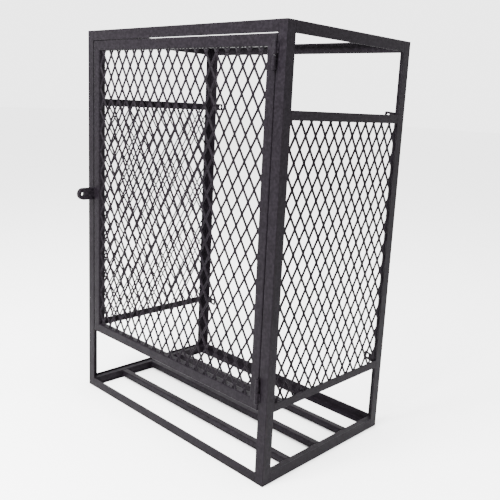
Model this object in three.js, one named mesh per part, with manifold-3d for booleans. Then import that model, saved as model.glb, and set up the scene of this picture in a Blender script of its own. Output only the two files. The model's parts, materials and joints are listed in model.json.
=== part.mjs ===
// Lockable mesh cage: a welded frame of steel angle with expanded-metal sides, a slatted base,
// an open top, an open back with four wall lugs, and one hinged mesh door with padlock lugs.
// Units are millimetres. X runs across the front, Y from front to back, Z up.
// The origin is the middle of the whole footprint, padlock lugs included, on the floor.
import * as THREE from 'three';
import { mergeGeometries, mergeVertices } from 'three/addons/utils/BufferGeometryUtils.js';
import Module from 'manifold-3d';

// ---- Driving dimensions ----
const WIDTH = 715;
const DEPTH = 440;
const HEIGHT = 1000;
const FIT_GAP = 0.3;            // space left at every welded or touching joint
const ANGLE_LEG = 25;           // equal steel angle of posts, top and base
const ANGLE_WALL = 3;
const FLAT_HEIGHT = 20;         // flat bar that edges the side mesh
const FLAT_LEVEL = { lower: 182.5, upper: 816.2 }; // mid heights of the side flat bars
const CORNER_CUT = 2;           // corner snipped off to clear the post's root radius
const LADDER_TUBE = 18;         // square tube of the slatted base
const LADDER_WALL = 1.5;
const SLAT_COUNT = 3;
const SLAT_PITCH = 108;
const SLAT_SHIFT = -4;          // middle slat, from the middle of the depth
const DOOR_BOTTOM = 173;
const DOOR_GAP = 2.5;           // running gap beside the door
const DOOR_TOP_GAP = 1;         // running gap above the door
const DOOR_TUBE_FACE = 25;
const DOOR_TUBE_DEPTH = 20;
const DOOR_TUBE_WALL = 2;
const MESH_LONG = 56.2;         // diamond height
const MESH_SHORT = { door: 33.65, side: 32.3 }; // diamond width
const MESH_STRAND = 3.8;
const MESH_THICK = 3;
const MESH_RIM = 1.5;
const SIDE_KNUCKLE = [-11, -5]; // one strand crossing, from the panel's middle
const DOOR_KNUCKLE = [-2.1, -0.6];
const DOOR_MESH_INSET = 3;      // door mesh behind the door's front face
const SIDE_MESH_LAP = 15;       // side mesh lapped behind posts and flat bars
const HINGE_LENGTH = 60;
const HINGE_RADIUS = 5;
const HINGE_PIN_RADIUS = 2.75;
const HINGE_WASHER = 1.5;
const HINGE_HEIGHTS = { upper: 930.5, lower: 221 };
const PADLOCK_LEVEL = 570;
const PADLOCK_REACH = 49;
const PADLOCK_LUG = { height: 32, corner: 15.5, thick: 4, hole: 11, holeFromEnd: 13 };
const WALL_LUG = { reach: 30, height: 20, corner: 3.5, thick: 3, hole: 10, holeFromEnd: 10 };
// Where each wall lug is welded: its height, and how far its free end is tilted up, in degrees.
const WALL_LUG_SEATS = {
  upper_left: { level: 817.5, tilt: 0 },
  upper_right: { level: 822, tilt: 5 },
  lower_left: { level: 183, tilt: -9 },
  lower_right: { level: 183, tilt: 14 },
};

// ---- Derived places ----
const HALF_W = WIDTH / 2;
const HALF_D = DEPTH / 2;
const FRONT = -HALF_D;
const DOOR_HALF = HALF_W - ANGLE_LEG - DOOR_GAP;
const DOOR_TOP = HEIGHT - ANGLE_LEG - DOOR_TOP_GAP;
const HINGE_X = HALF_W - ANGLE_LEG - DOOR_GAP / 2;
const HINGE_Y = FRONT - HINGE_RADIUS - FIT_GAP;
const LADDER_BASE = ANGLE_WALL + FIT_GAP;
const RUNNER_OUTER = HALF_W - ANGLE_WALL - 1;
const RUNNER_END = HALF_D - ANGLE_WALL - 1.5;

const wasm = await Module();
wasm.setup();

// Everything is drawn about the middle of the four posts, then moved back by half the lugs' reach.
const cage = new THREE.Group();
const frame = new THREE.Group();
const door = new THREE.Group();
frame.position.y = PADLOCK_REACH / 2;
frame.add(door);
cage.add(frame);

// ---- Materials: one per sub-part, dark powder coat unless said otherwise ----
const FINISH = {
  frame: { color: 0x2e2d30, roughness: 0.55, metalness: 0.1 },
  door: { color: 0x302f32, roughness: 0.55, metalness: 0.1 },
  mesh: { color: 0x29292b, roughness: 0.6, metalness: 0.1 },
  ladder: { color: 0x2f2e31, roughness: 0.55, metalness: 0.1 },
  pin: { color: 0x8d8f92, roughness: 0.35, metalness: 0.9 },
  washer: { color: 0x38373a, roughness: 0.5, metalness: 0.3 },
};

function addPart(name, geometry, finish, parent = frame) {
  const mesh = new THREE.Mesh(geometry, new THREE.MeshStandardMaterial(FINISH[finish]));
  mesh.name = name;
  parent.add(mesh);
  return mesh;
}

// ---- Booleans ----
function toSolid(geometry) {
  const bare = geometry.clone();
  bare.deleteAttribute('normal');
  bare.deleteAttribute('uv');
  const welded = mergeVertices(bare, 1e-4);
  return new wasm.Manifold(new wasm.Mesh({
    numProp: 3,
    vertProperties: new Float32Array(welded.attributes.position.array),
    triVerts: new Uint32Array(welded.index.array),
  }));
}

function toGeometry(solid) {
  const out = solid.getMesh();
  const geometry = new THREE.BufferGeometry();
  geometry.setAttribute('position', new THREE.BufferAttribute(new Float32Array(out.vertProperties), 3));
  geometry.setIndex(new THREE.BufferAttribute(new Uint32Array(out.triVerts), 1));
  return geometry;
}

function joined(first, second) {
  return toGeometry(toSolid(first).add(toSolid(second)));
}

// ---- Sections ----
function extrude(shape, length, curveSegments = 1) {
  return new THREE.ExtrudeGeometry(shape, { depth: length, bevelEnabled: false, curveSegments });
}

function roundedRectangle(path, width, height, radius) {
  const x = width / 2;
  const y = height / 2;
  path.moveTo(x, -y + radius);
  path.lineTo(x, y - radius);
  path.absarc(x - radius, y - radius, radius, 0, Math.PI / 2, false);
  path.lineTo(-x + radius, y);
  path.absarc(-x + radius, y - radius, radius, Math.PI / 2, Math.PI, false);
  path.lineTo(-x, -y + radius);
  path.absarc(-x + radius, -y + radius, radius, Math.PI, 1.5 * Math.PI, false);
  path.lineTo(x - radius, -y);
  path.absarc(x - radius, -y + radius, radius, 1.5 * Math.PI, 2 * Math.PI, false);
  return path;
}

function tubeSection(width, height, wall) {
  const shape = roundedRectangle(new THREE.Shape(), width, height, wall * 1.3);
  const bore = new THREE.Path();
  const x = width / 2 - wall;
  const y = height / 2 - wall;
  const corners = [[-x, -y], [-x, y], [x, y], [x, -y]];
  bore.setFromPoints(corners.map((corner) => new THREE.Vector2(...corner)));
  shape.holes.push(bore);
  return shape;
}

// Equal angle with its heel at the origin and its legs along +X and +Y.
function angleSection() {
  const toe = 1.5;
  const root = 3;
  const shape = new THREE.Shape();
  shape.moveTo(0, 0);
  shape.lineTo(ANGLE_LEG, 0);
  shape.lineTo(ANGLE_LEG, ANGLE_WALL - toe);
  shape.absarc(ANGLE_LEG - toe, ANGLE_WALL - toe, toe, 0, Math.PI / 2, false);
  shape.lineTo(ANGLE_WALL + root, ANGLE_WALL);
  shape.absarc(ANGLE_WALL + root, ANGLE_WALL + root, root, 1.5 * Math.PI, Math.PI, true);
  shape.lineTo(ANGLE_WALL, ANGLE_LEG - toe);
  shape.absarc(ANGLE_WALL - toe, ANGLE_LEG - toe, toe, 0, Math.PI / 2, false);
  shape.lineTo(0, ANGLE_LEG);
  shape.lineTo(0, 0);
  return shape;
}

// Places an extrusion so that its section's x and y axes and its length follow the given directions.
function oriented(geometry, xAxis, yAxis, origin) {
  const x = new THREE.Vector3(...xAxis);
  const y = new THREE.Vector3(...yAxis);
  const basis = new THREE.Matrix4().makeBasis(x, y, new THREE.Vector3().crossVectors(x, y));
  basis.setPosition(...origin);
  geometry.applyMatrix4(basis);
  return geometry;
}

function box(low, high) {
  const size = high.map((value, axis) => value - low[axis]);
  const geometry = new THREE.BoxGeometry(...size);
  geometry.translate(...low.map((value, axis) => value + size[axis] / 2));
  return geometry;
}

// ---- Frame ----
// Each post's heel stands at an outer corner, its legs turned inward.
function makePost(name, sideX, sideY) {
  const heel = [sideX * HALF_W, sideY * HALF_D];
  const flipped = sideX * sideY > 0;
  const section = extrude(angleSection(), HEIGHT);
  if (flipped) {
    oriented(section, [-sideX, 0, 0], [0, -sideY, 0], [...heel, 0]);
  } else {
    oriented(section, [0, -sideY, 0], [-sideX, 0, 0], [...heel, 0]);
  }
  addPart(name, section, 'frame');
}

// A front or back rail: its upright leg butts the posts, and its level leg runs into both corners.
function makeCrossRail(name, sideY, heelZ, legZ) {
  const uprightEnd = HALF_W - ANGLE_LEG - FIT_GAP;
  const levelEnd = HALF_W - ANGLE_WALL - FIT_GAP;
  const levelOuter = HALF_D - ANGLE_WALL - FIT_GAP;
  const section = extrude(angleSection(), 2 * uprightEnd);
  const inward = [0, -sideY, 0];
  const along = [0, 0, legZ];
  if (sideY * legZ < 0) {
    oriented(section, inward, along, [-uprightEnd, sideY * HALF_D, heelZ]);
  } else {
    oriented(section, along, inward, [-uprightEnd, sideY * HALF_D, heelZ]);
  }
  const inner = HALF_D - ANGLE_LEG + 1.5;
  const cut = CORNER_CUT;
  const outline = [
    [-levelEnd, inner],
    [levelEnd, inner],
    [levelEnd, levelOuter - cut],
    [levelEnd - cut, levelOuter],
    [cut - levelEnd, levelOuter],
    [-levelEnd, levelOuter - cut],
  ];
  const plan = new THREE.Shape(outline.map(([x, y]) => new THREE.Vector2(x, sideY * y)));
  const level = extrude(plan, ANGLE_WALL);
  level.translate(0, 0, Math.min(heelZ, heelZ + legZ * ANGLE_WALL));
  addPart(name, joined(section, level), 'frame');
}

// A left or right rail fits between the front and back rails.
function makeSideRail(name, sideX, heelZ, legZ) {
  const end = HALF_D - ANGLE_LEG - FIT_GAP;
  const section = extrude(angleSection(), 2 * end);
  const inward = [-sideX, 0, 0];
  const along = [0, 0, legZ];
  if (sideX * legZ > 0) {
    oriented(section, inward, along, [sideX * HALF_W, -end, heelZ]);
  } else {
    oriented(section, along, inward, [sideX * HALF_W, -end, heelZ]);
  }
  addPart(name, section, 'frame');
}

// Flat bars edge the side mesh above and below, flush with the posts' outer faces.
function makeSideFlat(name, sideX, level) {
  const end = HALF_D - ANGLE_LEG - FIT_GAP;
  const xEnds = [sideX * (HALF_W - ANGLE_WALL), sideX * HALF_W].sort((a, b) => a - b);
  const half = FLAT_HEIGHT / 2;
  addPart(name, box([xEnds[0], -end, level - half], [xEnds[1], end, level + half]), 'frame');
}

// ---- Expanded metal ----
// Cuts a convex outline back to the inside of a rectangle, one side at a time.
function clipToRectangle(outline, halfWidth, halfHeight) {
  const sides = [[1, 0, halfWidth], [-1, 0, halfWidth], [0, 1, halfHeight], [0, -1, halfHeight]];
  let points = outline;
  for (const [nx, ny, limit] of sides) {
    const kept = [];
    points.forEach((point, index) => {
      const next = points[(index + 1) % points.length];
      const here = point.x * nx + point.y * ny - limit;
      const there = next.x * nx + next.y * ny - limit;
      if (here <= 0) kept.push(point);
      if (here * there < 0) kept.push(point.clone().lerp(next, here / (here - there)));
    });
    points = kept;
  }
  return points;
}

function outlineArea(points) {
  return points.length < 3 ? 0 : Math.abs(THREE.ShapeUtils.area(points));
}

// A sheet of diamonds, long way up, centred on the origin, with a plain rim on its sides and ends.
// knuckle is the place of one crossing of strands.
function expandedSheet(width, height, sideRim, endRim, knuckle, short) {
  const plate = box([-width / 2, -height / 2, 0], [width / 2, height / 2, MESH_THICK]);
  const slope = Math.hypot(short, MESH_LONG);
  const openX = short / 2 - MESH_STRAND * slope / (2 * MESH_LONG);
  const openY = openX * MESH_LONG / short;
  const rows = Math.ceil(height / MESH_LONG) + 1;
  const columns = Math.ceil(width / short) + 1;
  const smallest = short * MESH_LONG * 0.09;
  const openings = [];
  for (let row = -rows; row <= rows; row += 1) {
    const shift = row % 2 === 0 ? short / 2 : 0;
    for (let column = -columns; column <= columns; column += 1) {
      const x = knuckle[0] + column * short + shift;
      const y = knuckle[1] + row * MESH_LONG / 2;
      const diamond = [[openX, 0], [0, openY], [-openX, 0], [0, -openY]];
      const outline = diamond.map(([dx, dy]) => new THREE.Vector2(x + dx, y + dy));
      const cut = clipToRectangle(outline, width / 2 - sideRim, height / 2 - endRim);
      if (outlineArea(cut) > smallest) openings.push(extrude(new THREE.Shape(cut), MESH_THICK + 2));
    }
  }
  const cutter = mergeGeometries(openings);
  cutter.translate(0, 0, -1);
  return toGeometry(toSolid(plate).subtract(toSolid(cutter)));
}

function makeSideMesh(name, sideX) {
  const width = DEPTH - 2 * (ANGLE_LEG - SIDE_MESH_LAP);
  const bottom = FLAT_LEVEL.lower - FLAT_HEIGHT / 2 + 2;
  const top = FLAT_LEVEL.upper + FLAT_HEIGHT / 2 - 2;
  const endRim = FLAT_HEIGHT - 3;
  const sheet = expandedSheet(width, top - bottom, SIDE_MESH_LAP - 1, endRim, SIDE_KNUCKLE, MESH_SHORT.side);
  const face = HALF_W - ANGLE_WALL - FIT_GAP;
  const outer = sideX > 0 ? face - MESH_THICK : -face;
  oriented(sheet, [0, 1, 0], [0, 0, 1], [outer, 0, (top + bottom) / 2]);
  addPart(name, sheet, 'mesh');
}

// ---- Base ladder: two runners and the slats between them ----
function makeRunner(name, sideX) {
  const length = 2 * RUNNER_END;
  const tube = extrude(tubeSection(LADDER_TUBE, LADDER_TUBE, LADDER_WALL), length);
  const middle = LADDER_BASE + LADDER_TUBE / 2;
  const x = sideX * (RUNNER_OUTER - LADDER_TUBE / 2);
  oriented(tube, [1, 0, 0], [0, 0, -1], [x, -length / 2, middle]);
  addPart(name, tube, 'ladder');
}

function makeSlat(index) {
  const half = RUNNER_OUTER - LADDER_TUBE - FIT_GAP;
  const tube = extrude(tubeSection(LADDER_TUBE, LADDER_TUBE, LADDER_WALL), 2 * half);
  const y = SLAT_SHIFT + (index - (SLAT_COUNT - 1) / 2) * SLAT_PITCH;
  oriented(tube, [0, 1, 0], [0, 0, 1], [-half, y, LADDER_BASE + LADDER_TUBE / 2]);
  addPart(`base_slat_${index + 1}`, tube, 'ladder');
}

// ---- Lugs ----
function roundHole(x, radius, sides) {
  const turns = Array.from({ length: sides }, (_, index) => (2 * Math.PI * (index + 0.5)) / sides);
  const points = turns.map((turn) => new THREE.Vector2(x + radius * Math.cos(turn), radius * Math.sin(turn)));
  return new THREE.Path(points);
}

// A flat lug along +X with one hole near its far end. Its root is cut to stand upright on a member
// when the lug is turned by tilt.
function lugOutline(reach, lug, tilt = 0) {
  const half = lug.height / 2;
  const lean = half * Math.tan(tilt);
  const shape = new THREE.Shape();
  shape.moveTo(-lean, -half);
  shape.lineTo(reach - lug.corner, -half);
  shape.absarc(reach - lug.corner, lug.corner - half, lug.corner, -Math.PI / 2, 0, false);
  shape.absarc(reach - lug.corner, half - lug.corner, lug.corner, 0, Math.PI / 2, false);
  shape.lineTo(lean, half);
  shape.holes.push(roundHole(reach - lug.holeFromEnd, lug.hole / 2, 20));
  return shape;
}

function makeWallLug(level, side, sideX) {
  const seat = WALL_LUG_SEATS[`${level}_${side}`];
  const tilt = THREE.MathUtils.degToRad(seat.tilt);
  const plate = extrude(lugOutline(WALL_LUG.reach - FIT_GAP, WALL_LUG, tilt), WALL_LUG.thick, 6);
  const start = sideX * (HALF_W - ANGLE_LEG - FIT_GAP);
  const back = sideX > 0 ? HALF_D - WALL_LUG.thick : HALF_D;
  const along = [-sideX * Math.cos(tilt), 0, Math.sin(tilt)];
  const across = [sideX * Math.sin(tilt), 0, Math.cos(tilt)];
  oriented(plate, along, across, [start, back, seat.level]);
  addPart(`wall_lug_${level}_${side}`, plate, 'frame');
}

function makePadlockLug(name, lowX, parent, finish) {
  const plate = extrude(lugOutline(PADLOCK_REACH - FIT_GAP, PADLOCK_LUG), PADLOCK_LUG.thick, 6);
  const heel = [lowX + PADLOCK_LUG.thick, FRONT - FIT_GAP, PADLOCK_LEVEL];
  oriented(plate, [0, -1, 0], [0, 0, 1], heel);
  addPart(name, plate, finish, parent);
}

// ---- Hinges: weld-on barrels, one half on the post and one on the door ----
// The barrel half stands on z = 0 with its bore open downward. side is +1 for a weld towards +X.
function hingeHalf(side) {
  const length = (HINGE_LENGTH - HINGE_WASHER) / 2 - FIT_GAP;
  const bore = HINGE_PIN_RADIUS + FIT_GAP;
  const boreDepth = length - 9;
  const nose = 3;
  const profile = [
    [0, boreDepth],
    [bore, boreDepth],
    [bore, 0],
    [HINGE_RADIUS, 0],
    [HINGE_RADIUS, length - nose],
    [HINGE_RADIUS - 1, length - 1],
    [HINGE_RADIUS - nose, length],
    [0, length],
  ].map(([r, z]) => new THREE.Vector2(r, z));
  const barrel = new THREE.LatheGeometry(profile, 18);
  barrel.rotateX(Math.PI / 2);
  const toe = HINGE_RADIUS;
  const weld = new THREE.Shape();
  weld.moveTo(side * 1.5, toe - 1.2);
  weld.lineTo(side * 3.9, 1.5);
  weld.lineTo(side * 8.5, toe - 0.6);
  weld.lineTo(side * 8.5, toe);
  weld.lineTo(side * 1.5, toe);
  const bead = extrude(weld, length - 6);
  bead.translate(0, 0, 2);
  return joined(barrel, bead);
}

function makeHinge(label, middle, doorHalfBelow) {
  const halfGap = HINGE_WASHER / 2 + FIT_GAP;
  const frameHalf = hingeHalf(1);
  const doorHalf = hingeHalf(-1);
  const raised = doorHalfBelow ? frameHalf : doorHalf;
  const lowered = doorHalfBelow ? doorHalf : frameHalf;
  raised.translate(HINGE_X, HINGE_Y, middle + halfGap);
  flipUpsideDown(lowered);
  lowered.translate(HINGE_X, HINGE_Y, middle - halfGap);
  addPart(`hinge_${label}_frame_half`, frameHalf, 'frame');
  addPart(`hinge_${label}_door_half`, doorHalf, 'door', door);
  makeHingePin(label, middle);
}

// Mirrors the geometry in the floor plane and keeps its faces pointing out.
function flipUpsideDown(geometry) {
  geometry.applyMatrix4(new THREE.Matrix4().makeScale(1, 1, -1));
  const order = geometry.index.array;
  for (let corner = 0; corner < order.length; corner += 3) {
    [order[corner], order[corner + 1]] = [order[corner + 1], order[corner]];
  }
}

function makeHingePin(label, middle) {
  const length = 38;
  const pin = new THREE.CylinderGeometry(HINGE_PIN_RADIUS, HINGE_PIN_RADIUS, length, 20);
  pin.rotateX(Math.PI / 2);
  pin.translate(HINGE_X, HINGE_Y, middle);
  addPart(`hinge_${label}_pin`, pin, 'pin');
  const ring = new THREE.Shape();
  ring.absarc(0, 0, HINGE_RADIUS - 0.2, 0, 2 * Math.PI, false);
  const bore = new THREE.Path();
  bore.absarc(0, 0, HINGE_PIN_RADIUS + FIT_GAP, 0, 2 * Math.PI, true);
  ring.holes.push(bore);
  const washer = extrude(ring, HINGE_WASHER, 10);
  washer.translate(HINGE_X, HINGE_Y, middle - HINGE_WASHER / 2);
  addPart(`hinge_${label}_washer`, washer, 'washer');
}

// ---- Door ----
// A tube with both ends mitred. Section x points to the door's outside edge, length runs along +Z.
function mitredTube(length) {
  const tube = extrude(tubeSection(DOOR_TUBE_FACE, DOOR_TUBE_DEPTH, DOOR_TUBE_WALL), length);
  tube.translate(0, 0, -length / 2);
  const position = tube.attributes.position;
  for (let index = 0; index < position.count; index += 1) {
    const inward = DOOR_TUBE_FACE / 2 - position.getX(index);
    const z = position.getZ(index);
    position.setZ(index, Math.sign(z) * (length / 2 - inward - FIT_GAP));
  }
  return tube;
}

function makeDoorFrame() {
  const height = DOOR_TOP - DOOR_BOTTOM;
  const middleZ = (DOOR_TOP + DOOR_BOTTOM) / 2;
  const half = DOOR_TUBE_FACE / 2;
  const y = FRONT + DOOR_TUBE_DEPTH / 2;
  const left = oriented(mitredTube(height), [-1, 0, 0], [0, -1, 0], [-DOOR_HALF + half, y, middleZ]);
  addPart('door_stile_left', left, 'door', door);
  const right = oriented(mitredTube(height), [1, 0, 0], [0, 1, 0], [DOOR_HALF - half, y, middleZ]);
  addPart('door_stile_right', right, 'door', door);
  const top = oriented(mitredTube(2 * DOOR_HALF), [0, 0, 1], [0, -1, 0], [0, y, DOOR_TOP - half]);
  addPart('door_rail_top', top, 'door', door);
  const bottom = oriented(mitredTube(2 * DOOR_HALF), [0, 0, -1], [0, 1, 0], [0, y, DOOR_BOTTOM + half]);
  addPart('door_rail_bottom', bottom, 'door', door);
}

function makeDoorMesh() {
  const width = 2 * (DOOR_HALF - DOOR_TUBE_FACE - FIT_GAP);
  const bottom = DOOR_BOTTOM + DOOR_TUBE_FACE + FIT_GAP;
  const top = DOOR_TOP - DOOR_TUBE_FACE - FIT_GAP;
  const sheet = expandedSheet(width, top - bottom, MESH_RIM, MESH_RIM, DOOR_KNUCKLE, MESH_SHORT.door);
  const back = FRONT + DOOR_MESH_INSET + MESH_THICK;
  oriented(sheet, [1, 0, 0], [0, 0, 1], [0, back, (top + bottom) / 2]);
  addPart('door_mesh', sheet, 'mesh', door);
}

// ---- Assembly ----
const SIDES = { left: -1, right: 1 };
const ENDS = { front: -1, back: 1 };

for (const [end, sideY] of Object.entries(ENDS)) {
  for (const [side, sideX] of Object.entries(SIDES)) {
    makePost(`post_${end}_${side}`, sideX, sideY);
  }
  makeCrossRail(`top_rail_${end}`, sideY, HEIGHT, -1);
  makeCrossRail(`base_rail_${end}`, sideY, 0, 1);
}

for (const [side, sideX] of Object.entries(SIDES)) {
  makeSideRail(`top_rail_${side}`, sideX, HEIGHT, -1);
  makeSideRail(`base_rail_${side}`, sideX, 0, 1);
  makeSideMesh(`side_mesh_${side}`, sideX);
  makeRunner(`base_runner_${side}`, sideX);
  for (const level of ['upper', 'lower']) {
    makeSideFlat(`side_flat_${level}_${side}`, sideX, FLAT_LEVEL[level]);
    makeWallLug(level, side, sideX);
  }
}

for (let index = 0; index < SLAT_COUNT; index += 1) {
  makeSlat(index);
}

makeHinge('upper', HINGE_HEIGHTS.upper, true);
makeHinge('lower', HINGE_HEIGHTS.lower, false);

const FRAME_LUG_X = -HALF_W + ANGLE_LEG - PADLOCK_LUG.thick - 0.5;
const DOOR_LUG_X = -DOOR_HALF + 0.5;
makePadlockLug('padlock_lug_frame', FRAME_LUG_X, frame, 'frame');
makePadlockLug('padlock_lug_door', DOOR_LUG_X, door, 'door');

makeDoorFrame();
makeDoorMesh();

export default cage;
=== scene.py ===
"""Looks for the lockable mesh cage: rolled angle, box tube, expanded metal, hinges, lugs and welds,
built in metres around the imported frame."""
import json
import math
import random

import bmesh
import bpy
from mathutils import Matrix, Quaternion, Vector


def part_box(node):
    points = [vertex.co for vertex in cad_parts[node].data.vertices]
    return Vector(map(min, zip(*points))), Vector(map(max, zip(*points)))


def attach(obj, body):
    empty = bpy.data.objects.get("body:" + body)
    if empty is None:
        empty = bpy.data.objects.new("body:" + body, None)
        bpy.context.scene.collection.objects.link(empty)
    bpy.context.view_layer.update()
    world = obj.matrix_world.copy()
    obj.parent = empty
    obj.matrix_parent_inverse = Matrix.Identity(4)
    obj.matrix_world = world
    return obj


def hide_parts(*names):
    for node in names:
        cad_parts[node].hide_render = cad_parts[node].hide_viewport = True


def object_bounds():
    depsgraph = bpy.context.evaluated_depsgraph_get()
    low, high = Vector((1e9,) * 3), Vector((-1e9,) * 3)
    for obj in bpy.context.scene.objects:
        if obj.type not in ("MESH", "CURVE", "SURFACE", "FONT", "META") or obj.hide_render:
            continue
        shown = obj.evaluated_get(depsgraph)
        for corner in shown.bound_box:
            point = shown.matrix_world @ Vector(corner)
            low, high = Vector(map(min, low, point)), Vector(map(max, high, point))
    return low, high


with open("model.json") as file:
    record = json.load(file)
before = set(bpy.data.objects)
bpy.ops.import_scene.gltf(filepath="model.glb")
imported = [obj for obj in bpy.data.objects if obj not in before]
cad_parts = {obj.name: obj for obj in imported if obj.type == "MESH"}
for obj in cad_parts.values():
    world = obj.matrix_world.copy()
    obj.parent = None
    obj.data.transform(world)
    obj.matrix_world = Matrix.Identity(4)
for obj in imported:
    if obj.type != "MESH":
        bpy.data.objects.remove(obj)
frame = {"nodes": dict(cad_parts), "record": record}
CAD_LOW, CAD_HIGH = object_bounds()

MM = 0.001
DOOR_PITCH = 33.65 * MM         # diamond width
SIDE_PITCH = 32.3 * MM
STRAND_LONG = 56.2 * MM         # diamond height
STRAND_WIDTH = 5.3 * MM
STRAND_THICK = 2.1 * MM
STRAND_TILT = math.radians(22)
STRAND_LAP = 0.12               # how far neighbouring strands stand apart at a crossing, of a width
STRAND_CHAMFER = 0.3 * MM
BOND_HALF = 1.0 * MM            # half the height of the straight stretch at a crossing
SIDE_SHEET_SHIFT = -0.7 * MM    # side strands, from the middle of the sheet's place towards the inside
DOOR_KNUCKLE = (-2.1 * MM, -0.6 * MM)   # one crossing, from the panel's middle
SIDE_KNUCKLE = (-11 * MM, -5 * MM)

BODY_OF = {n: b for b, ns in frame["record"]["behaviour"]["bodies"].items() for n in ns}
SLOT_OF = {s["node"]: s["material_slot"] for s in frame["record"]["subparts"]}


# ---------------------------------------------------------------- materials
COAT_SPECULAR = 0.03
PATCH_SCALE = 14                # cells of a noise, per metre
SCUFF_SCALE = 160
GLOSS_SCALE = 38
PEEL_SCALE = 950
DUST_SCALE = 2600
DUST_SHARE = 0.35               # height of the dust, of the orange peel's
# paler tone for outward edges: part worn paint, part painted highlight along the edges
WORN_EDGE_HIGHLIGHT = (0.017, 0.014, 0.018, 1)


def powder_coat(name, light, dark, grain=1.0, rough=(0.40, 0.52), worn_highlight_share=0.3):
    """Satin dark powder coat: orange-peel skin, patchy gloss, and paler edges that are part worn paint and
    part painted highlight.
    """
    mat = bpy.data.materials.new(name)
    mat.use_nodes = True
    tree = mat.node_tree
    nodes, links = tree.nodes, tree.links
    shader = nodes["Principled BSDF"]
    shader.inputs["Specular IOR Level"].default_value = COAT_SPECULAR
    place = nodes.new("ShaderNodeTexCoord")

    def noise(scale, detail, roughness=0.5):
        n = nodes.new("ShaderNodeTexNoise")
        n.inputs["Scale"].default_value = scale
        n.inputs["Detail"].default_value = detail
        n.inputs["Roughness"].default_value = roughness
        links.new(place.outputs["Object"], n.inputs["Vector"])
        return n

    def ramp(source, low, high, out_low, out_high):
        r = nodes.new("ShaderNodeMapRange")
        r.inputs["From Min"].default_value = low
        r.inputs["From Max"].default_value = high
        r.inputs["To Min"].default_value = out_low
        r.inputs["To Max"].default_value = out_high
        links.new(source, r.inputs["Value"])
        return r.outputs["Result"]

    patches = noise(PATCH_SCALE, 4)
    tone = nodes.new("ShaderNodeMix")
    tone.data_type = "RGBA"
    links.new(ramp(patches.outputs["Fac"], 0.35, 0.65, 0.0, 1.0), tone.inputs[0])
    tone.inputs[6].default_value = (*dark, 1)
    tone.inputs[7].default_value = (*light, 1)

    # paler outward edges, part worn paint and part painted highlight, broken up by a fine noise
    corners = nodes.new("ShaderNodeAttribute")
    corners.attribute_name = "corner"
    scuff = noise(SCUFF_SCALE, 5, 0.65)
    edge = ramp(corners.outputs["Fac"], 0.15, 0.9, 0.0, 1.0)
    broken = nodes.new("ShaderNodeMath")
    broken.operation = "MULTIPLY"
    links.new(edge, broken.inputs[0])
    links.new(ramp(scuff.outputs["Fac"], 0.42, 0.68, 0.0, worn_highlight_share), broken.inputs[1])
    # mix the paler edge tone in: part worn paint, part painted highlight
    worn_highlight_mix = nodes.new("ShaderNodeMix")
    worn_highlight_mix.data_type = "RGBA"
    links.new(broken.outputs[0], worn_highlight_mix.inputs[0])
    links.new(tone.outputs[2], worn_highlight_mix.inputs[6])
    worn_highlight_mix.inputs[7].default_value = WORN_EDGE_HIGHLIGHT
    links.new(worn_highlight_mix.outputs[2], shader.inputs["Base Color"])

    gloss = noise(GLOSS_SCALE, 3)
    links.new(ramp(gloss.outputs["Fac"], 0.3, 0.7, *rough), shader.inputs["Roughness"])

    peel = noise(PEEL_SCALE * grain, 2)
    dust = noise(DUST_SCALE, 1)
    both = nodes.new("ShaderNodeMath")
    both.operation = "MULTIPLY_ADD"
    links.new(dust.outputs["Fac"], both.inputs[0])
    both.inputs[1].default_value = DUST_SHARE
    links.new(peel.outputs["Fac"], both.inputs[2])
    bump = nodes.new("ShaderNodeBump")
    bump.inputs["Strength"].default_value = 0.22
    bump.inputs["Distance"].default_value = 0.0004
    links.new(both.outputs[0], bump.inputs["Height"])
    links.new(bump.outputs["Normal"], shader.inputs["Normal"])
    return mat


def bare_metal(name, colour, rough, lines_along):
    """Turned or rolled bare metal, with fine tool lines across the given axis."""
    mat = bpy.data.materials.new(name)
    mat.use_nodes = True
    tree = mat.node_tree
    nodes, links = tree.nodes, tree.links
    shader = nodes["Principled BSDF"]
    shader.inputs["Metallic"].default_value = 1.0
    place = nodes.new("ShaderNodeTexCoord")
    stretch = nodes.new("ShaderNodeMapping")
    stretch.inputs["Scale"].default_value = lines_along
    links.new(place.outputs["Object"], stretch.inputs["Vector"])
    lines = nodes.new("ShaderNodeTexNoise")
    lines.inputs["Scale"].default_value = 300
    lines.inputs["Detail"].default_value = 3
    links.new(stretch.outputs["Vector"], lines.inputs["Vector"])
    tone = nodes.new("ShaderNodeMix")
    tone.data_type = "RGBA"
    links.new(lines.outputs["Fac"], tone.inputs[0])
    tone.inputs[6].default_value = (*[c * 0.6 for c in colour], 1)
    tone.inputs[7].default_value = (*colour, 1)
    links.new(tone.outputs[2], shader.inputs["Base Color"])
    spread = nodes.new("ShaderNodeMapRange")
    spread.inputs["To Min"].default_value = rough - 0.1
    spread.inputs["To Max"].default_value = rough + 0.15
    links.new(lines.outputs["Fac"], spread.inputs["Value"])
    links.new(spread.outputs["Result"], shader.inputs["Roughness"])
    bump = nodes.new("ShaderNodeBump")
    bump.inputs["Strength"].default_value = 0.3
    bump.inputs["Distance"].default_value = 0.0002
    links.new(lines.outputs["Fac"], bump.inputs["Height"])
    links.new(bump.outputs["Normal"], shader.inputs["Normal"])
    return mat


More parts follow.
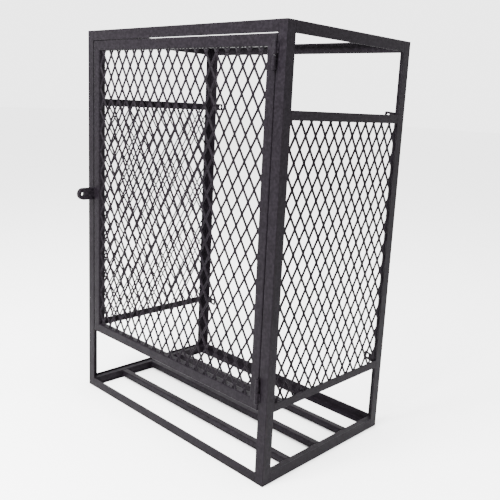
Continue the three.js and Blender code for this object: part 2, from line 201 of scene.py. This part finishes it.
LIGHT, DARK = (0.0034, 0.0026, 0.0037), (0.0030, 0.0023, 0.0032)
MESH_LIGHT, MESH_DARK = (0.0036, 0.0028, 0.0039), (0.0032, 0.0024, 0.0034)
PIN_STEEL = (0.55, 0.55, 0.56)
MATERIALS = {
    "frame_angle": powder_coat("coat_frame", LIGHT, DARK),
    "side_flat": powder_coat("coat_flat", LIGHT, DARK, 1.1),
    "expanded_mesh": powder_coat("coat_mesh", MESH_LIGHT, MESH_DARK, 1.2, (0.42, 0.56), 0.3),
    "base_tube": powder_coat("coat_base", LIGHT, DARK, 1.0, (0.38, 0.52), 0.45),
    "wall_lug": powder_coat("coat_wall_lug", LIGHT, DARK, 1.1),
    "door_tube": powder_coat("coat_door", LIGHT, DARK, 0.95),
    "padlock_lug": powder_coat("coat_padlock_lug", LIGHT, DARK, 1.0, (0.36, 0.55), 0.6),
    "hinge_barrel": powder_coat("coat_hinge", LIGHT, DARK, 1.0, (0.36, 0.5), 0.6),
    "hinge_pin": bare_metal("steel_pin", PIN_STEEL, 0.32, (1, 1, 8)),
    "hinge_washer": powder_coat("coat_washer", LIGHT, DARK, 1.3, (0.38, 0.5), 0.9),
}
for node_name, node in frame["nodes"].items():
    node.data.materials.clear()
    node.data.materials.append(MATERIALS[SLOT_OF[node_name]])


# ---------------------------------------------------------------- mesh helpers
SMOOTH_BELOW = math.radians(35)
SHARPEST_BEND = math.radians(18)   # an outward bend from here on gets the full paler edge tone, part worn paint and part painted highlight


def piece(name, verts, faces, body, slot, nodes=(), smooth=SMOOTH_BELOW):
    """Makes one object from plain lists, coats it, and ties it to its body and its CAD nodes.
    The corner attribute says how sharply the surface bends outwards, for the paler edge tone that is part
    worn paint and part painted highlight."""
    mesh = bpy.data.meshes.new(name)
    mesh.from_pydata([tuple(v) for v in verts], [], faces)
    mesh.validate()
    work = bmesh.new()
    work.from_mesh(mesh)
    bmesh.ops.recalc_face_normals(work, faces=work.faces)
    work.to_mesh(mesh)
    # outward bend per vertex, which places the paler edge tone: part worn paint, part painted highlight
    bends = []
    for v in work.verts:
        turns = [e.calc_face_angle_signed(0.0) for e in v.link_edges if len(e.link_faces) == 2]
        bends.append(min(1.0, max([0.0] + turns) / SHARPEST_BEND))
    work.free()
    mesh.attributes.new("corner", "FLOAT", "POINT").data.foreach_set("value", bends)
    mesh.polygons.foreach_set("use_smooth", [True] * len(mesh.polygons))
    mesh.set_sharp_from_angle(angle=smooth)
    mesh.materials.append(MATERIALS[slot])
    obj = bpy.data.objects.new(name, mesh)
    bpy.context.scene.collection.objects.link(obj)
    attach(obj, body)
    if nodes:
        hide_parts(*nodes)
    return obj


class Lists:
    """Vertices and faces gathered from several shapes."""

    def __init__(self):
        self.verts = []
        self.faces = []

    def add(self, verts, faces):
        start = len(self.verts)
        self.verts += [Vector(v) for v in verts]
        self.faces += [[start + i for i in face] for face in faces]

    def rings(self, rings, cap_start=True, cap_end=True, closed=False):
        """A skin over rings of equal count, with flat caps."""
        count = len(rings[0])
        faces = []
        last = len(rings) if closed else len(rings) - 1
        for r in range(last):
            a, b = r * count, ((r + 1) % len(rings)) * count
            for i in range(count):
                j = (i + 1) % count
                faces.append([a + i, a + j, b + j, b + i])
        if cap_start and not closed:
            faces.append(list(range(count))[::-1])
        if cap_end and not closed:
            faces.append([(len(rings) - 1) * count + i for i in range(count)])
        self.add([v for ring in rings for v in ring], faces)


def arc(cx, cy, radius, start, end, steps):
    """Points of an arc, angles in quarter turns."""
    out = []
    for i in range(steps + 1):
        a = (start + (end - start) * i / steps) * math.pi / 2
        out.append((cx + radius * math.cos(a), cy + radius * math.sin(a)))
    return out


def inset(points, by):
    """The outline moved inwards by a small amount, each corner along its own bisector."""
    out = []
    n = len(points)
    for i in range(n):
        (ax, ay), (bx, by_), (cx, cy) = points[i - 1], points[i], points[(i + 1) % n]
        ux, uy = bx - ax, by_ - ay
        vx, vy = cx - bx, cy - by_
        lu, lv = math.hypot(ux, uy) or 1e-9, math.hypot(vx, vy) or 1e-9
        nx, ny = -(uy / lu + vy / lv), ux / lu + vx / lv
        ln = math.hypot(nx, ny) or 1e-9
        nx, ny = nx / ln, ny / ln
        cosine = max(0.4, -(nx * uy / lu) + ny * ux / lu)
        out.append((bx + nx * by / cosine, by_ + ny * by / cosine))
    return out


def angle_outline(leg, wall):
    """Equal angle, heel at the origin, legs along +x and +y, drawn anticlockwise."""
    heel, toe, root = 0.7 * MM, 1.5 * MM, 3 * MM
    near = 0.9 * MM
    points = arc(heel, heel, heel, 2, 3, 3)
    points += [(heel + near, 0), (leg - near, 0), (leg - 0.2 * MM, 0), (leg, 0.2 * MM)]
    points += arc(leg - toe, wall - toe, toe, 0, 1, 3)
    points += [(leg - toe - near, wall)]
    points += arc(wall + root, wall + root, root, 3, 2, 4)
    points += [(wall, leg - toe - near)]
    points += arc(wall - toe, leg - toe, toe, 0, 1, 3)
    points += [(0.2 * MM, leg), (0, leg - 0.2 * MM), (0, leg - near), (0, heel + near)]
    return points


def bar_outline(width, height, radius, steps=3):
    """Rounded rectangle centred on the origin, drawn anticlockwise."""
    x, y = width / 2 - radius, height / 2 - radius
    near = min(0.8 * MM, x / 2, y / 2)
    points = []
    for quarter, (sx, sy) in enumerate([(1, 1), (-1, 1), (-1, -1), (1, -1)]):
        curve = arc(sx * x, sy * y, radius, quarter, quarter + 1, steps)
        (ax, ay), (bx, by) = curve[0], curve[-1]
        if quarter % 2 == 0:
            before, after = (ax, ay - sy * near), (bx - sx * near, by)
        else:
            before, after = (ax - sx * near, ay), (bx, by - sy * near)
        points += [before] + curve + [after]
    return points


def placed(points, along, x_axis, y_axis, origin):
    z_axis = Vector(x_axis).cross(Vector(y_axis))
    return [Vector(origin) + Vector(x_axis) * x + Vector(y_axis) * y + z_axis * along for x, y in points]


END_EASE = 0.25 * MM


def solid_bar(lists, outline, length, x_axis, y_axis, origin, edge=END_EASE):
    """An extruded section with eased ends."""
    tight = inset(outline, edge)
    lists.rings([placed(tight, 0, x_axis, y_axis, origin),
                 placed(outline, edge, x_axis, y_axis, origin),
                 placed(outline, length - edge, x_axis, y_axis, origin),
                 placed(tight, length, x_axis, y_axis, origin)])


def hollow_bar(lists, outer, bore, length, x_axis, y_axis, origin, mitre=None):
    """A tube with open ends. mitre maps a section point to how far its ends are cut back."""
    cut = mitre or (lambda x, y: 0.0)

    def ring(points, end):
        out = []
        z_axis = Vector(x_axis).cross(Vector(y_axis))
        for x, y in points:
            along = cut(x, y) if end == 0 else length - cut(x, y)
            out.append(Vector(origin) + Vector(x_axis) * x + Vector(y_axis) * y + z_axis * along)
        return out

    lists.rings([ring(outer, 0), ring(outer, 1), ring(bore, 1), ring(bore, 0)], closed=True)


def lathe(lists, profile, centre, axis, steps=36):
    """A turned piece about a vertical line; profile is (radius, height) from bottom to top."""
    rings = []
    for r, z in profile:
        rings.append([Vector(centre) + Vector((r * math.cos(a), r * math.sin(a), z * axis))
                      for a in (2 * math.pi * i / steps for i in range(steps))])
    lists.rings(rings)


# ---------------------------------------------------------------- frame members
ANGLE_LEG = 25 * MM
ANGLE_WALL = 3 * MM
CORNER_SNIP = 2 * MM            # cut off the level leg's end, clear of the post's root
FIT_GAP = 0.3 * MM
posts = {n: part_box(n) for n in frame["nodes"] if n.startswith("post_")}
MIDDLE = sum(((lo + hi) / 2 for lo, hi in posts.values()), Vector()) / len(posts)
ANGLE = angle_outline(ANGLE_LEG, ANGLE_WALL)


def outer_corner(lo, hi, axes):
    """The corner of a box that lies farthest from the cage's middle, and the ways back in."""
    corner, ways = {}, {}
    for axis in axes:
        middle = MIDDLE[axis]
        out = hi[axis] if abs(hi[axis] - middle) > abs(lo[axis] - middle) else lo[axis]
        corner[axis] = out
        ways[axis] = -1.0 if out > middle else 1.0
    return corner, ways


def unit(axis, sign=1.0):
    v = Vector((0, 0, 0))
    v[axis] = sign
    return v


def angle_member(name, run):
    """Replaces an angle node whose length runs along axis number run."""
    lo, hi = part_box(name)
    a, b = [(1, 2), (2, 0), (0, 1)][run]
    corner, ways = outer_corner(lo, hi, (a, b))
    lists = Lists()
    start, end = lo[run], hi[run]
    tabs = run == 0
    if tabs:
        start += ANGLE_LEG - ANGLE_WALL
        end -= ANGLE_LEG - ANGLE_WALL
    x_axis, y_axis = unit(a, ways[a]), unit(b, ways[b])
    if x_axis.cross(y_axis)[run] < 0:
        x_axis, y_axis = y_axis, x_axis
    origin = Vector((0, 0, 0))
    origin[a], origin[b], origin[run] = corner[a], corner[b], start
    solid_bar(lists, ANGLE, end - start, x_axis, y_axis, origin)
    if tabs:
        # the level leg runs on into the corner, inside the post
        low_z = corner[2] if ways[2] > 0 else corner[2] - ANGLE_WALL
        far_y = corner[1] + ways[1] * (ANGLE_WALL + FIT_GAP)
        near_y = corner[1] + ways[1] * (ANGLE_LEG - 0.4 * MM)
        for x0, x1, outside in ((lo[0], start, 0), (end, hi[0], 1)):
            cut_y = far_y + ways[1] * CORNER_SNIP
            if outside:
                plan = [(x0, near_y), (x1, near_y), (x1, cut_y), (x1 - CORNER_SNIP, far_y), (x0, far_y)]
            else:
                plan = [(x1, near_y), (x0, near_y), (x0, cut_y), (x0 + CORNER_SNIP, far_y), (x1, far_y)]
            lists.rings([[Vector((x, y, low_z)) for x, y in plan],
                         [Vector((x, y, low_z + ANGLE_WALL)) for x, y in plan]])
    piece(name + "_rolled", lists.verts, lists.faces, BODY_OF[name], SLOT_OF[name], [name])


for name in posts:
    angle_member(name, 2)
for end in ("front", "back"):
    angle_member("top_rail_" + end, 0)
    angle_member("base_rail_" + end, 0)
for side in ("left", "right"):
    angle_member("top_rail_" + side, 1)
    angle_member("base_rail_" + side, 1)

FLAT_ROUND = 0.6 * MM
for side in ("left", "right"):
    for level in ("upper", "lower"):
        name = f"side_flat_{level}_{side}"
        lo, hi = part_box(name)
        size, mid = hi - lo, (lo + hi) / 2
        lists = Lists()
        outline = bar_outline(size.x, size.z, FLAT_ROUND)
        solid_bar(lists, outline, size.y, (1, 0, 0), (0, 0, -1), (mid.x, lo.y, mid.z))
        piece(name + "_rolled", lists.verts, lists.faces, "frame", SLOT_OF[name], [name])

LADDER_WALL = 1.5 * MM
LADDER_ROUND = 2 * MM
LADDER_BORE_ROUND = 0.6 * MM
for name in [n for n in frame["nodes"] if n.startswith(("base_runner", "base_slat"))]:
    lo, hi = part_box(name)
    size, mid = hi - lo, (lo + hi) / 2
    run = 1 if name.startswith("base_runner") else 0
    width = size[1 - run]
    outer = bar_outline(width, size.z, LADDER_ROUND, 4)
    bore = bar_outline(width - 2 * LADDER_WALL, size.z - 2 * LADDER_WALL, LADDER_BORE_ROUND, 4)
    lists = Lists()
    if run == 1:
        hollow_bar(lists, outer, bore, size.y, (1, 0, 0), (0, 0, -1), (mid.x, lo.y, mid.z))
    else:
        hollow_bar(lists, outer, bore, size.x, (0, 1, 0), (0, 0, 1), (lo.x, mid.y, mid.z))
    piece(name + "_drawn", lists.verts, lists.faces, "frame", SLOT_OF[name], [name])

# ---------------------------------------------------------------- door frame
DOOR_WALL = 2 * MM
DOOR_ROUND = 2.6 * MM
DOOR_BORE_ROUND = 0.8 * MM
MITRE_GAP = 0.2 * MM
for name in ("door_stile_left", "door_stile_right", "door_rail_top", "door_rail_bottom"):
    lo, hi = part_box(name)
    size, mid = hi - lo, (lo + hi) / 2
    upright = name.startswith("door_stile")
    face = size.x if upright else size.z
    outer = bar_outline(face, size.y, DOOR_ROUND, 4)
    bore = bar_outline(face - 2 * DOOR_WALL, size.y - 2 * DOOR_WALL, DOOR_BORE_ROUND, 4)
    lists = Lists()
    outside = 1.0 if name in ("door_stile_right", "door_rail_top") else -1.0
    x_axis = unit(0 if upright else 2, outside)
    z_axis = unit(2 if upright else 0)
    y_axis = z_axis.cross(x_axis)
    length = size.z if upright else size.x
    hollow_bar(lists, outer, bore, length, x_axis, y_axis, mid - z_axis * length / 2,
               lambda x, y, half=face / 2: half - x - MITRE_GAP)
    piece(name + "_drawn", lists.verts, lists.faces, "door", SLOT_OF[name], [name])


# ---------------------------------------------------------------- expanded metal
def strand_section():
    """The slit strand's section: a thin bar with broken corners, wide way along x."""
    w, t, c = STRAND_WIDTH / 2, STRAND_THICK / 2, STRAND_CHAMFER
    half = [(w, -t + c), (w, t - c), (w - c, t), (-w + c, t)]
    return half + [(-x, -y) for x, y in half]


def expanded_panel(width, height, pitch, knuckle):
    """Vertices and faces of an expanded sheet in its own plane: x across, z up, y through it."""
    work = bmesh.new()
    section = strand_section()
    half_pitch = pitch / 2
    reach_x = STRAND_LAP * STRAND_WIDTH / 2 * math.cos(STRAND_TILT)
    reach_y = STRAND_LAP * STRAND_WIDTH / 2 * math.sin(STRAND_TILT)
    first = math.floor((-width / 2 - knuckle[0]) / half_pitch) - 1
    last = math.ceil((width / 2 - knuckle[0]) / half_pitch) + 1
    for column in range(first, last):
        left = knuckle[0] + column * half_pitch
        right = left + half_pitch
        phase = knuckle[1] + (STRAND_LONG / 2 if column % 2 else 0.0)
        low = math.floor((-height / 2 - phase) / STRAND_LONG) - 1
        high = math.ceil((height / 2 - phase) / STRAND_LONG) + 1
        stations = []
        for turn in range(low, high + 1):
            z = phase + turn * STRAND_LONG
            at_left = (left + reach_x, reach_y)
            at_right = (right - reach_x, -reach_y)
            up = z + STRAND_LONG / 2
            stations += [(z - BOND_HALF, at_left), (z + BOND_HALF, at_left)]
            stations += [(up - BOND_HALF, at_right), (up + BOND_HALF, at_right)]
        stations = [s for s in stations if abs(s[0]) < height / 2 + STRAND_LONG * 0.6]
        rings = []
        cosine, sine = math.cos(STRAND_TILT), math.sin(STRAND_TILT)
        for z, (x, y) in stations:
            rings.append([work.verts.new((x + u * cosine - v * sine, y + u * sine + v * cosine, z))
                          for u, v in section])
        for lower, upper in zip(rings, rings[1:]):
            for i in range(len(section)):
                j = (i + 1) % len(section)
                work.faces.new((lower[i], lower[j], upper[j], upper[i]))
        work.faces.new(rings[0][::-1])
        work.faces.new(rings[-1])
    for axis, at in ((0, width / 2), (0, -width / 2), (2, height / 2), (2, -height / 2)):
        normal = unit(axis, math.copysign(1.0, at))
        geometry = work.verts[:] + work.edges[:] + work.faces[:]
        cut = bmesh.ops.bisect_plane(work, geom=geometry, plane_co=unit(axis, at), plane_no=normal,
                                     clear_outer=True, dist=1e-7)
        edges = [e for e in cut["geom_cut"] if isinstance(e, bmesh.types.BMEdge)]
        bmesh.ops.holes_fill(work, edges=edges, sides=0)
    loose = [v for v in work.verts if not v.link_faces]
    bmesh.ops.delete(work, geom=loose, context="VERTS")
    work.verts.index_update()
    verts = [v.co.copy() for v in work.verts]
    faces = [[v.index for v in f.verts] for f in work.faces]
    work.free()
    return verts, faces


def mesh_piece(node, across, through, shift, pitch, knuckle):
    """Sets an expanded sheet into the place of its CAD node."""
    lo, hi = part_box(node)
    mid = (lo + hi) / 2 + Vector(through) * shift
    size = hi - lo
    width = abs(size.dot(Vector(across)))
    verts, faces = expanded_panel(width, size.z, pitch, knuckle)
    set_in = [mid + Vector(across) * v.x + Vector(through) * v.y + Vector((0, 0, v.z)) for v in verts]
    piece(node + "_strands", set_in, faces, BODY_OF[node], SLOT_OF[node], [node], math.radians(50))


mesh_piece("door_mesh", (1, 0, 0), (0, 1, 0), 0.0, DOOR_PITCH, DOOR_KNUCKLE)
mesh_piece("side_mesh_right", (0, 1, 0), (1, 0, 0), SIDE_SHEET_SHIFT, SIDE_PITCH, SIDE_KNUCKLE)
mesh_piece("side_mesh_left", (0, 1, 0), (-1, 0, 0), SIDE_SHEET_SHIFT, SIDE_PITCH, SIDE_KNUCKLE)


# ---------------------------------------------------------------- lugs
# plan of a lug: half is half its height, hole the hole's radius, from_end the hole's middle from the free end
PADLOCK_LUG = {"reach": 48.7 * MM, "half": 16 * MM, "corner": 15.5 * MM,
               "hole": 5.5 * MM, "from_end": 13 * MM}
WALL_LUG = {"reach": 29.7 * MM, "half": 10 * MM, "corner": 3.5 * MM, "hole": 5 * MM, "from_end": 10 * MM}
WALL_LUG_TILTS = {"upper_left": 0, "upper_right": 5, "lower_left": -9, "lower_right": 14}
LUG_EASE = 0.5 * MM
HOLE_EASE = 0.3 * MM


def crossing(points, angle):
    """How far a ray from the origin runs before it leaves a convex outline around it."""
    c, s = math.cos(angle), math.sin(angle)
    far = 1e9
    for (ax, ay), (bx, by) in zip(points, points[1:] + points[:1]):
        ex, ey = bx - ax, by - ay
        cross = c * ey - s * ex
        if cross > 1e-12:
            far = min(far, (ax * ey - ay * ex) / cross)
    return far


def lug_level(name, plate, tilt):
    """The height at which the middle of a tilted lug's root stands."""
    lo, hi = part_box(name)
    rise = plate["half"] / math.cos(tilt)
    return lo.z + rise if tilt >= 0 else hi.z - rise


def lug(name, thin, out, way, plate, tilt=0.0):
    """A flat lug with one hole. thin is the axis through it, out the axis it reaches along.
    Each ring follows the plate's edge or the hole's, as seen from the middle of the hole."""
    lo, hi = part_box(name)
    half, corner, reach = plate["half"], plate["corner"], plate["reach"]
    lean = half * math.tan(tilt)
    outline = [(-lean, -half)] + arc(reach - corner, corner - half, corner, 3, 4, 8)
    outline += arc(reach - corner, half - corner, corner, 0, 1, 8) + [(lean, half)]
    hole = reach - plate["from_end"]
    outline = [(x - hole, y) for x, y in outline]
    eased = inset(outline, LUG_EASE)
    turns = sorted([2 * math.pi * i / 48 for i in range(48)]
                   + [math.atan2(y, x) % (2 * math.pi) for x, y in (outline[0], outline[-1])])
    root = lo[out] if way > 0 else hi[out]
    level = lug_level(name, plate, tilt)
    depths = [lo[thin], lo[thin] + LUG_EASE, hi[thin] - LUG_EASE, hi[thin]]
    edges = [eased, outline, outline, eased]
    wide = plate["hole"] + HOLE_EASE
    bores = [wide, plate["hole"], plate["hole"], wide]
    layers = [[(crossing(edge, a), a, depth) for a in turns] for edge, depth in zip(edges, depths)]
    layers += [[(bore, a, depth) for a in turns] for bore, depth in reversed(list(zip(bores, depths)))]
    rings = []
    for layer in layers:
        ring = []
        for r, a, depth in layer:
            x, y = hole + r * math.cos(a), r * math.sin(a)
            v = Vector((0, 0, level + x * math.sin(tilt) + y * math.cos(tilt)))
            v[out] = root + way * (x * math.cos(tilt) - y * math.sin(tilt))
            v[thin] = depth
            ring.append(v)
        rings.append(ring)
    lists = Lists()
    lists.rings(rings, closed=True)
    piece(name + "_cut", lists.verts, lists.faces, BODY_OF[name], SLOT_OF[name], [name])


lug("padlock_lug_frame", 0, 1, -1, PADLOCK_LUG)
lug("padlock_lug_door", 0, 1, -1, PADLOCK_LUG)
for seat, degrees in WALL_LUG_TILTS.items():
    lug("wall_lug_" + seat, 1, 0, 1 if seat.endswith("left") else -1, WALL_LUG, math.radians(degrees))


# ---------------------------------------------------------------- welds
RIPPLE_PITCH = 1.1 * MM


def weld_run(lists, points, radius, seed):
    """A rippled bead laid along a path."""
    dice = random.Random(seed)
    path = []
    for a, b in zip(points, points[1:]):
        a, b = Vector(a), Vector(b)
        count = max(2, int((b - a).length / RIPPLE_PITCH))
        path += [a.lerp(b, i / count) for i in range(count)]
    path.append(Vector(points[-1]))
    rings = []
    for i, p in enumerate(path):
        ahead = (path[min(i + 1, len(path) - 1)] - path[max(i - 1, 0)]).normalized()
        side = ahead.orthogonal().normalized()
        other = ahead.cross(side)
        near_end = min(i, len(path) - 1 - i)
        ripple = 1.0 + (0.10 if i % 2 else -0.06) + dice.uniform(-0.05, 0.05)
        swell = (0.55, 0.85, 1.0)[min(near_end, 2)] * ripple
        rings.append([p + side * (radius * swell * math.cos(t)) + other * (radius * swell * math.sin(t))
                      for t in (2 * math.pi * k / 10 for k in range(10))])
    lists.rings(rings)


def upright_weld(lists, x, y, start, end, radius, seed):
    """A bead up or down a vertical joint."""
    weld_run(lists, [(x, y, start), (x, y, end)], radius, seed)


BUTT_BEAD = 1.3 * MM
FLAT_BEAD = 1.2 * MM
SLAT_BEAD = 1.1 * MM
SLAT_TOP_BEAD = 0.9 * MM
END_CLEAR = 2 * MM              # how far a bead stops short of an edge
frame_welds = Lists()
door_welds = Lists()
for name, (lo, hi) in posts.items():
    corner, ways = outer_corner(lo, hi, (0, 1))
    x, y = corner[0], corner[1]
    sx, sy = ways[0], ways[1]
    deep, leg = ANGLE_WALL + 0.2 * MM, ANGLE_LEG
    for level, up in ((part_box("base_rail_front")[0].z, 1), (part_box("top_rail_front")[1].z, -1)):
        # inside the corner: down each butt joint between rail and post
        start, end = level + up * 5 * MM, level + up * 22 * MM
        upright_weld(frame_welds, x + sx * leg, y + sy * deep, start, end, BUTT_BEAD, f"{name}{level}a")
        upright_weld(frame_welds, x + sx * deep, y + sy * leg, start, end, BUTT_BEAD, f"{name}{level}b")
for side, sign in (("left", -1), ("right", 1)):
    for level in ("upper", "lower"):
        lo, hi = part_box(f"side_flat_{level}_{side}")
        inside = lo.x if sign > 0 else hi.x
        for y in (lo.y, hi.y):
            upright_weld(frame_welds, inside, y, lo.z + END_CLEAR, hi.z - END_CLEAR, FLAT_BEAD,
                         f"{side}{level}{y:.3f}")
        lo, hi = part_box(f"wall_lug_{level}_{side}")
        root = hi.x if sign > 0 else lo.x
        tilt = math.radians(WALL_LUG_TILTS[f"{level}_{side}"])
        seat = lug_level(f"wall_lug_{level}_{side}", WALL_LUG, tilt)
        upright_weld(frame_welds, root, lo.y, seat - 8 * MM, seat + 8 * MM, BUTT_BEAD, f"lug{side}{level}")
for n in (1, 2, 3):
    lo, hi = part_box(f"base_slat_{n}")
    for x in (lo.x, hi.x):
        top = hi.z - 0.1 * MM
        weld_run(frame_welds, [(x, lo.y + END_CLEAR, top), (x, hi.y - END_CLEAR, top)], SLAT_TOP_BEAD,
                 f"slat{n}{x:.3f}a")
        for y in (lo.y, hi.y):
            upright_weld(frame_welds, x, y, lo.z + END_CLEAR, hi.z - END_CLEAR, SLAT_BEAD,
                         f"slat{n}{x:.3f}{y:.3f}")
for name, target in (("padlock_lug_frame", frame_welds), ("padlock_lug_door", door_welds)):
    lo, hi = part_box(name)
    for x in (lo.x, hi.x):
        upright_weld(target, x, hi.y - 0.2 * MM, lo.z + 1.5 * MM, hi.z - 1.5 * MM, FLAT_BEAD,
                     f"{name}{x:.4f}")
piece("frame_welds", frame_welds.verts, frame_welds.faces, "frame", "frame_angle")


def tack(lists, at, radius):
    """A small round blob of weld."""
    rings = []
    for r, h in ((0.15, -1.0), (0.8, -0.6), (1.0, 0.0), (0.8, 0.6), (0.15, 1.0)):
        rings.append([Vector(at) + radius * Vector((r * math.cos(t), h * 0.8, r * math.sin(t)))
                      for t in (2 * math.pi * i / 10 for i in range(10))])
    lists.rings(rings)


# small tacks that hold the door's mesh inside its frame
TACK_SIZES = (1.3, 1.8)
TACK_CLEAR = 6 * MM             # no tack nearer to a corner than this
lo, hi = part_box("door_mesh")
middle = (lo + hi) / 2
dice = random.Random("tacks")
steps = int((hi.z - lo.z) / STRAND_LONG)
for i in range(steps + 1):
    z = middle.z + DOOR_KNUCKLE[1] + (i - steps / 2) * STRAND_LONG
    if lo.z + TACK_CLEAR < z < hi.z - TACK_CLEAR:
        for x in (lo.x, hi.x):
            tack(door_welds, (x, middle.y, z), dice.uniform(*TACK_SIZES) * MM)
steps = int((hi.x - lo.x) / DOOR_PITCH)
for i in range(0, steps + 1, 2):
    x = middle.x + DOOR_KNUCKLE[0] + (i - steps / 2) * DOOR_PITCH
    if lo.x + TACK_CLEAR < x < hi.x - TACK_CLEAR:
        for z in (lo.z, hi.z):
            tack(door_welds, (x, middle.y, z), dice.uniform(*TACK_SIZES) * MM)
piece("door_welds", door_welds.verts, door_welds.faces, "door", "door_tube")


# ---------------------------------------------------------------- hinges
HINGE_BORE = 3.05 * MM
BORE_SHORT = 9 * MM             # how far the bore stops short of the barrel's nose
NOSE = 4 * MM
RIM_EASE = 0.4 * MM
POINT = 0.01 * MM               # radius at which a turned profile closes on its axis


def hinge_half(node, label, weld_side, raised):
    """One bullet-shaped barrel half with its weld, bored for the pin."""
    lo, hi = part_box(node)
    pin_lo, pin_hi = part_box(f"hinge_{label}_pin")
    axis_x, axis_y = (pin_lo.x + pin_hi.x) / 2, (pin_lo.y + pin_hi.y) / 2
    radius = (hi.y - lo.y) / 2
    length = hi.z - lo.z
    sign = 1 if raised else -1
    base = lo.z if raised else hi.z
    shoulder = length - NOSE
    floor_at = length - BORE_SHORT
    profile = [(POINT, floor_at), (HINGE_BORE, floor_at), (HINGE_BORE, 0.3 * MM), (HINGE_BORE + 0.3 * MM, 0),
               (radius - RIM_EASE, 0), (radius, RIM_EASE), (radius, shoulder)]
    for i in range(1, 6):
        a = i / 6 * math.pi / 2
        profile.append((radius * (0.98 * math.cos(a) + 0.02), shoulder + NOSE * math.sin(a)))
    profile.append((POINT, length))
    lists = Lists()
    lathe(lists, profile, (axis_x, axis_y, base), sign)
    toe = hi.y - 0.35 * MM
    # a fat bead against the barrel and a thinner one beside it
    for offset, set_back, bead in ((3.6, 1.3, 1.7), (5.6, 0.9, 1.2)):
        x, y = axis_x + weld_side * offset * MM, toe - set_back * MM
        upright_weld(lists, x, y, base + sign * 3 * MM, base + sign * (length - 5 * MM), bead * MM,
                     f"{node}{offset}")
    piece(node + "_turned", lists.verts, lists.faces, BODY_OF[node], SLOT_OF[node], [node])


hinge_half("hinge_upper_frame_half", "upper", 1, True)
hinge_half("hinge_upper_door_half", "upper", -1, False)
hinge_half("hinge_lower_door_half", "lower", -1, True)
hinge_half("hinge_lower_frame_half", "lower", 1, False)

# ---------------------------------------------------------------- stage, light, camera
WHITE = bpy.data.materials.new("studio_floor")
WHITE.use_nodes = True
white_shader = WHITE.node_tree.nodes["Principled BSDF"]
white_shader.inputs["Base Color"].default_value = (0.92, 0.92, 0.92, 1)
white_shader.inputs["Roughness"].default_value = 0.9
white_shader.inputs["Specular IOR Level"].default_value = 0.1
FLOOR_HALF = 30
FLOOR_CORNERS = [(x * FLOOR_HALF, y * FLOOR_HALF, 0) for x, y in ((-1, -1), (1, -1), (1, 1), (-1, 1))]
floor_mesh = bpy.data.meshes.new("floor")
floor_mesh.from_pydata(FLOOR_CORNERS, [], [(0, 1, 2, 3)])
floor_mesh.materials.append(WHITE)
floor = bpy.data.objects.new("floor", floor_mesh)
floor.location.z = CAD_LOW.z - 0.001
bpy.context.scene.collection.objects.link(floor)

world = bpy.data.worlds.new("studio")
bpy.context.scene.world = world
world.use_nodes = True
world.node_tree.nodes["Background"].inputs["Color"].default_value = (1, 1, 1, 1)
world.node_tree.nodes["Background"].inputs["Strength"].default_value = 3.7


def area(name, at, size, power):
    """A round soft light, aimed at the middle of the cage."""
    data = bpy.data.lights.new(name, "AREA")
    data.shape = "DISK"
    data.size = size
    data.energy = power
    light = bpy.data.objects.new(name, data)
    light.location = at
    light.rotation_mode = "QUATERNION"
    light.rotation_quaternion = (Vector((0, 0, 0.5)) - Vector(at)).to_track_quat("-Z", "Y")
    bpy.context.scene.collection.objects.link(light)


area("key", (0.1, -1.9, 2.1), 1.3, 310)
area("top", (0.2, 0.1, 3.2), 1.8, 140)

camera_data = bpy.data.cameras.new("camera")
camera = bpy.data.objects.new("camera", camera_data)
bpy.context.scene.collection.objects.link(camera)
bpy.context.scene.camera = camera
camera_data.sensor_width = 36
camera_data.lens = 46.976
camera_data.shift_x = -0.0439
camera_data.shift_y = -0.0233
camera.rotation_mode = "QUATERNION"
camera.location = (1.24359, MIDDLE.y - 1.18705, 0.83759)
camera.rotation_quaternion = Quaternion((0.713689, 0.594058, 0.214592, 0.302808))
